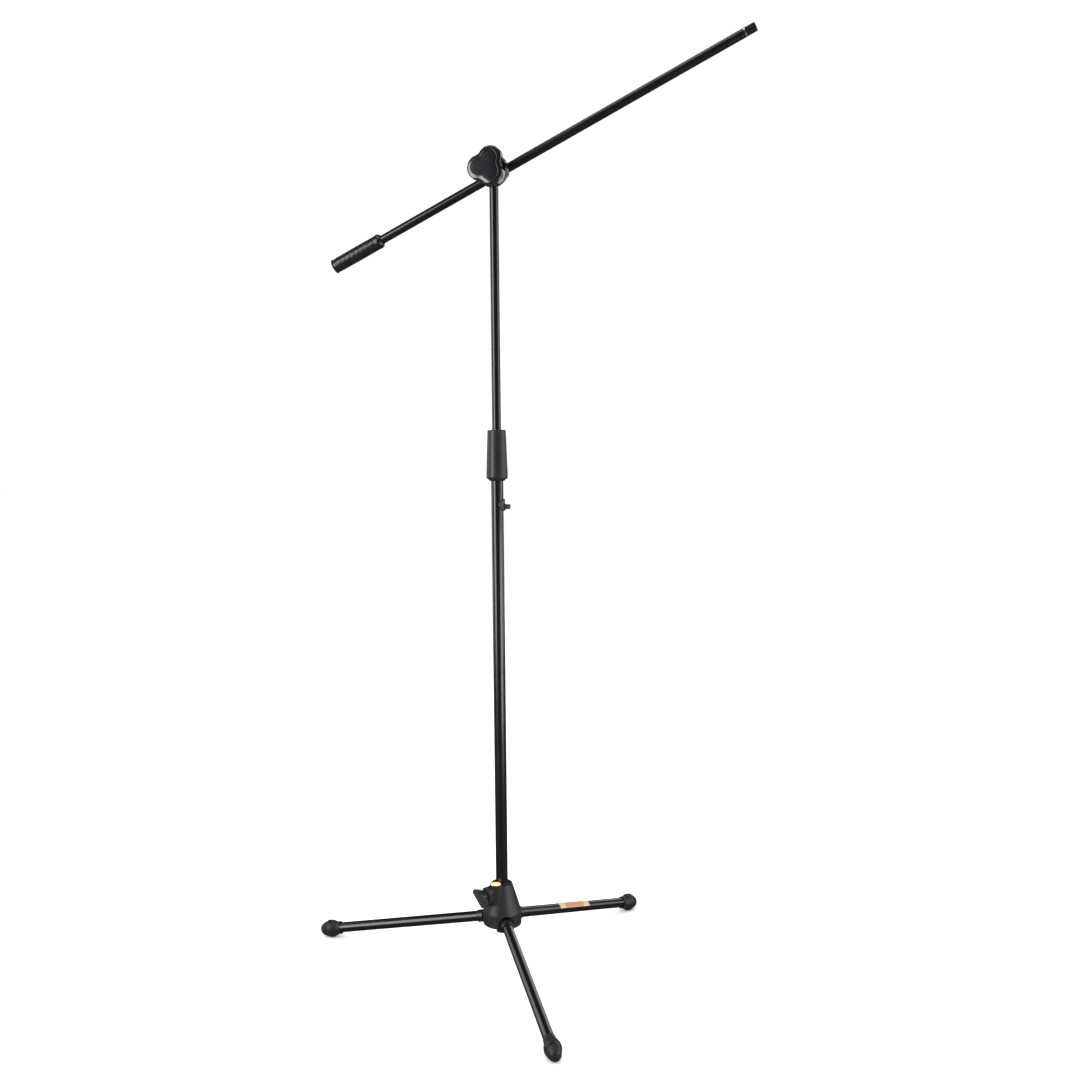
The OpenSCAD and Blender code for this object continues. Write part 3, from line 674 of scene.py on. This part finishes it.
def knob_body():
    """Knob with a round back, lobed sides, a bevelled front and a bore that holds its nut."""
    back, front, _ = (x / MM for x in span("tilt_knob", TILT))
    rear = [(KNOB_BORE_R, back), (BACK_R - 0.6, back), (BACK_R, back + 0.6), (BACK_R, back + 3.2)]
    sides = [(2.2, back + 3.2), (0.7, back + 3.5), (0.15, back + 4.3), (0, back + 5.4), (0, front - 8.4)]
    bore = [(NUT_BORE_R, front - 2.2), (NUT_BORE_R, back + 4), (KNOB_BORE_R, back + 4)]
    rings = [circle(r * MM, height * MM, KNOB_AROUND) for r, height in rear]
    rings += [lobed(inset, height) for inset, height in sides + knob_front(front)]
    rings += [circle(r * MM, height * MM, KNOB_AROUND) for r, height in bore]
    return skin("knob", rings, TILT, closed=True, sharp_deg=50)


def knob_face():
    """The knob's front cover, domed in the middle."""
    low, high, _ = (x / MM for x in span("knob_cap", TILT))
    edge = FACE_INSET + 0.05
    steps = (
        (12, low), (edge + 0.25, low), (edge, low + 0.2), (edge, high - 0.5), (edge + 0.35, high - 0.1),
        (edge + 1.2, high + 0.12), (edge + 2.6, high + 0.25), (14, high + 0.42))
    rings = [lobed(inset, height) for inset, height in steps]
    ends = [(0, 0, low * MM)], [(0, 0, (high + 0.5) * MM)]
    return skin("knob_face", [ends[0], *rings, ends[1]], TILT, sharp_deg=50)


finish_piece(knob_body(), "tilt_knob", "knob_plastic", LOOKS["knob"], "tilt_knob")
finish_piece(knob_face(), "tilt_knob", "knob_plastic", LOOKS["knob_face"], "knob_cap")


# ---- boom ----

SLUG_BORE_R = 11.55   # round the steel inside the counterweight
BOOM_BORE_R = 8.15    # round the boom's tube
GROOVES, GROOVE_STEP, GROOVE_DEEP = 9, 10.4, 0.25

grip_back, grip_front, weight_r = (x / MM for x in span("weight_grip", BOOM))
body_r = weight_r - 0.35
outline = [
    (SLUG_BORE_R, grip_back, 0), (body_r - 0.9, grip_back, 0.5), (body_r - 0.7, grip_back + 1.5, 0.6)]
for k in range(GROOVES):
    centre = grip_back + 6.5 + GROOVE_STEP * k
    swell = body_r - 0.15 + 0.25 * math.sin(math.pi * k / (GROOVES - 1))
    outline += [
        (swell, centre - 1.1, 0.5), (swell - GROOVE_DEEP, centre - 0.35, 0.3),
        (swell - GROOVE_DEEP, centre + 0.35, 0.3), (swell, centre + 1.1, 0.5)]
outline += [
    (weight_r, grip_front - 6.2, 1.5), (weight_r - 0.4, grip_front - 3.4, 1.4),
    (weight_r - 3, grip_front, 1.6), (8.9, grip_front, 0.5), (BOOM_BORE_R, grip_front - 0.6, 0),
    (BOOM_BORE_R, grip_front - 8.8, 0), (SLUG_BORE_R, grip_front - 8.8, 0)]
weight_grip = lathe("counterweight_grip", outline, BOOM)
finish_piece(weight_grip, "boom", "weight_rubber", LOOKS["weight"], "weight_grip")

PLUG_R = 11.3         # of the end cap's part inside the grip

cap_back, cap_front, _ = (x / MM for x in span("weight_cap", BOOM))
seam = cap_back + 2.95
weight_cap = lathe("counterweight_cap", [
    (0, cap_back + 0.5, 0), (5.0, cap_back + 0.35, 0.6), (5.6, cap_back + 0.05, 0.4),
    (weight_r - 1.6, cap_back, 0.8), (weight_r, cap_back + 0.8, 0.7), (weight_r, cap_back + 2.4, 0.6),
    (weight_r - 0.7, seam, 0.3), (PLUG_R, seam, 0), (PLUG_R, cap_front, 0.4), (0, cap_front, 0)],
    BOOM, closed=False)
finish_piece(weight_cap, "boom", "weight_rubber", LOOKS["weight"], "weight_cap")

THREAD_R, THREAD_PITCH, THREAD_DEPTH = 7.94, 0.94, 0.55
THREAD_STEPS, THREAD_AROUND = 8, 72   # rings a pitch, and points a ring
SPIGOT_R = 6.75                       # of the part inside the boom's tube
FADE_IN, FADE_OUT = 1.2, 1.0          # length over which the thread starts and stops
FLAT_SHARE = 0.12                     # of the thread's slope that is flat crest, and flat root
END_DISH_R, END_DISH_DEEP = 5.4, 1.2  # hollow in the tip


def thread():
    """Tip stud with a real screw thread that fades in and out at its ends."""
    low, high, crest = (x / MM for x in span("mic_thread", BOOM))
    start = span("thread_collar", BOOM)[1] / MM
    crest = min(crest, THREAD_R)
    root = crest - THREAD_DEPTH
    step = THREAD_PITCH / THREAD_STEPS
    rings = []
    for k in range(int((high - start) / step) + 1):
        height = start + k * step
        cut = max(ramp(1 - (height - start) / FADE_IN), ramp(1 - (high - 0.6 - height) / FADE_OUT))
        ring = []
        for i in range(THREAD_AROUND):
            phase = (height / THREAD_PITCH - i / THREAD_AROUND) % 1.0
            slope = 1 - abs(2 * phase - 1)
            tooth = min(1.0, max(0.0, (slope - FLAT_SHARE) / (1 - 2 * FLAT_SHARE)))
            r = (crest - THREAD_DEPTH * (1 - tooth)) * (1 - cut) + root * cut
            turn = math.tau * i / THREAD_AROUND
            ring.append((r * MM * math.cos(turn), r * MM * math.sin(turn), height * MM))
        rings.append(ring)
    spigot = [(0, low), (SPIGOT_R, low), (SPIGOT_R, start)]
    tip = [
        (root, high - 0.25), (root - 0.6, high), (END_DISH_R, high),
        (END_DISH_R - 0.3, high - END_DISH_DEEP), (0, high - END_DISH_DEEP)]
    before = [circle(r * MM, height * MM, THREAD_AROUND) for r, height in spigot]
    after = [circle(r * MM, height * MM, THREAD_AROUND) for r, height in tip]
    return skin("tip_thread", [*before, *rings, *after], BOOM, sharp_deg=60)


finish_piece(thread(), "boom", "thread_black", LOOKS["thread"], "mic_thread")


# ---- stage, light and camera ----

def stage_floor():
    """White floor, which reflections on the stand see as dark."""
    made, tree, shader = new_material("pale_floor")
    half = 40.0
    corners = [(-half, -half, 0), (half, -half, 0), (half, half, 0), (-half, half, 0)]
    floor = mesh_object("floor", corners, [(0, 1, 2, 3)])
    rays = tree.nodes.new("ShaderNodeLightPath")
    seen = blend_colours(tree, rays.outputs["Is Glossy Ray"], (0.93, 0.93, 0.93), (0.06, 0.06, 0.06))
    tree.links.new(seen, shader.inputs["Base Color"])
    shader.inputs["Roughness"].default_value = 0.9
    shader.inputs["Specular IOR Level"].default_value = 0.0
    floor.data.materials.append(made)


def studio_world():
    """White surroundings, which reflections on the stand see as dark."""
    world = bpy.data.worlds.new("studio")
    bpy.context.scene.world = world
    world.use_nodes = True
    tree = world.node_tree
    tree.nodes.clear()
    out = tree.nodes.new("ShaderNodeOutputWorld")
    shade = tree.nodes.new("ShaderNodeBackground")
    rays = tree.nodes.new("ShaderNodeLightPath")
    seen = blend_colours(tree, rays.outputs["Is Glossy Ray"], (1.1, 1.1, 1.1), (0.04, 0.04, 0.043))
    tree.links.new(seen, shade.inputs["Color"])
    tree.links.new(shade.outputs[0], out.inputs[0])


def softbox(name, azimuth, distance, height, width, tall, radiance, aim=0.9):
    """Area light at an azimuth from +X, aimed at a height of the mast.

    radiance is the brightness that a reflection of it shows.
    """
    data = bpy.data.lights.new(name, "AREA")
    data.shape = "RECTANGLE"
    data.size, data.size_y = width, tall
    data.energy = radiance * math.pi * width * tall
    made = bpy.data.objects.new(name, data)
    bpy.context.scene.collection.objects.link(made)
    angle = math.radians(azimuth)
    made.location = (distance * math.cos(angle), distance * math.sin(angle), height)
    made.rotation_euler = (Vector((0, 0, aim)) - made.location).to_track_quat("-Z", "Y").to_euler()
    made.visible_camera = False


stage_floor()
studio_world()
softbox("softbox_left", -129, distance=3.0, height=1.25, width=1.7, tall=3.0, radiance=6.0)
softbox("softbox_right", 12, distance=3.0, height=1.25, width=2.6, tall=3.0, radiance=2.2)
softbox("softbox_back_left", 170, distance=3.2, height=1.5, width=1.4, tall=3.0, radiance=2.0)
softbox("softbox_back", 78, distance=3.4, height=1.5, width=1.2, tall=3.0, radiance=1.6)
softbox("softbox_top", -90, distance=0.6, height=3.6, width=2.4, tall=2.0, radiance=1.8, aim=0.6)
softbox("softbox_low_right", -22, distance=1.95, height=0.3, width=1.3, tall=0.8, radiance=5.0, aim=1.43)

CAMERA_AT = (0.60590, -1.92049, 0.9261)
CAMERA_RIGHT = Vector((0.942208, 0.334714, -0.014553))
CAMERA_UP = Vector((-0.013118, 0.080262, 0.996687))
CAMERA_BACK = CAMERA_RIGHT.cross(CAMERA_UP)

camera_data = bpy.data.cameras.new("camera")
camera = bpy.data.objects.new("camera", camera_data)
bpy.context.scene.collection.objects.link(camera)
bpy.context.scene.camera = camera
camera_data.sensor_width = 36.0
camera_data.lens = 37.36
camera_data.shift_x, camera_data.shift_y = 0.0766, 0.0104
facing = Matrix((CAMERA_RIGHT, CAMERA_UP, CAMERA_BACK)).transposed().to_4x4()
camera.matrix_world = Matrix.Translation(CAMERA_AT) @ facing
bpy.context.scene.view_settings.view_transform = "Standard"
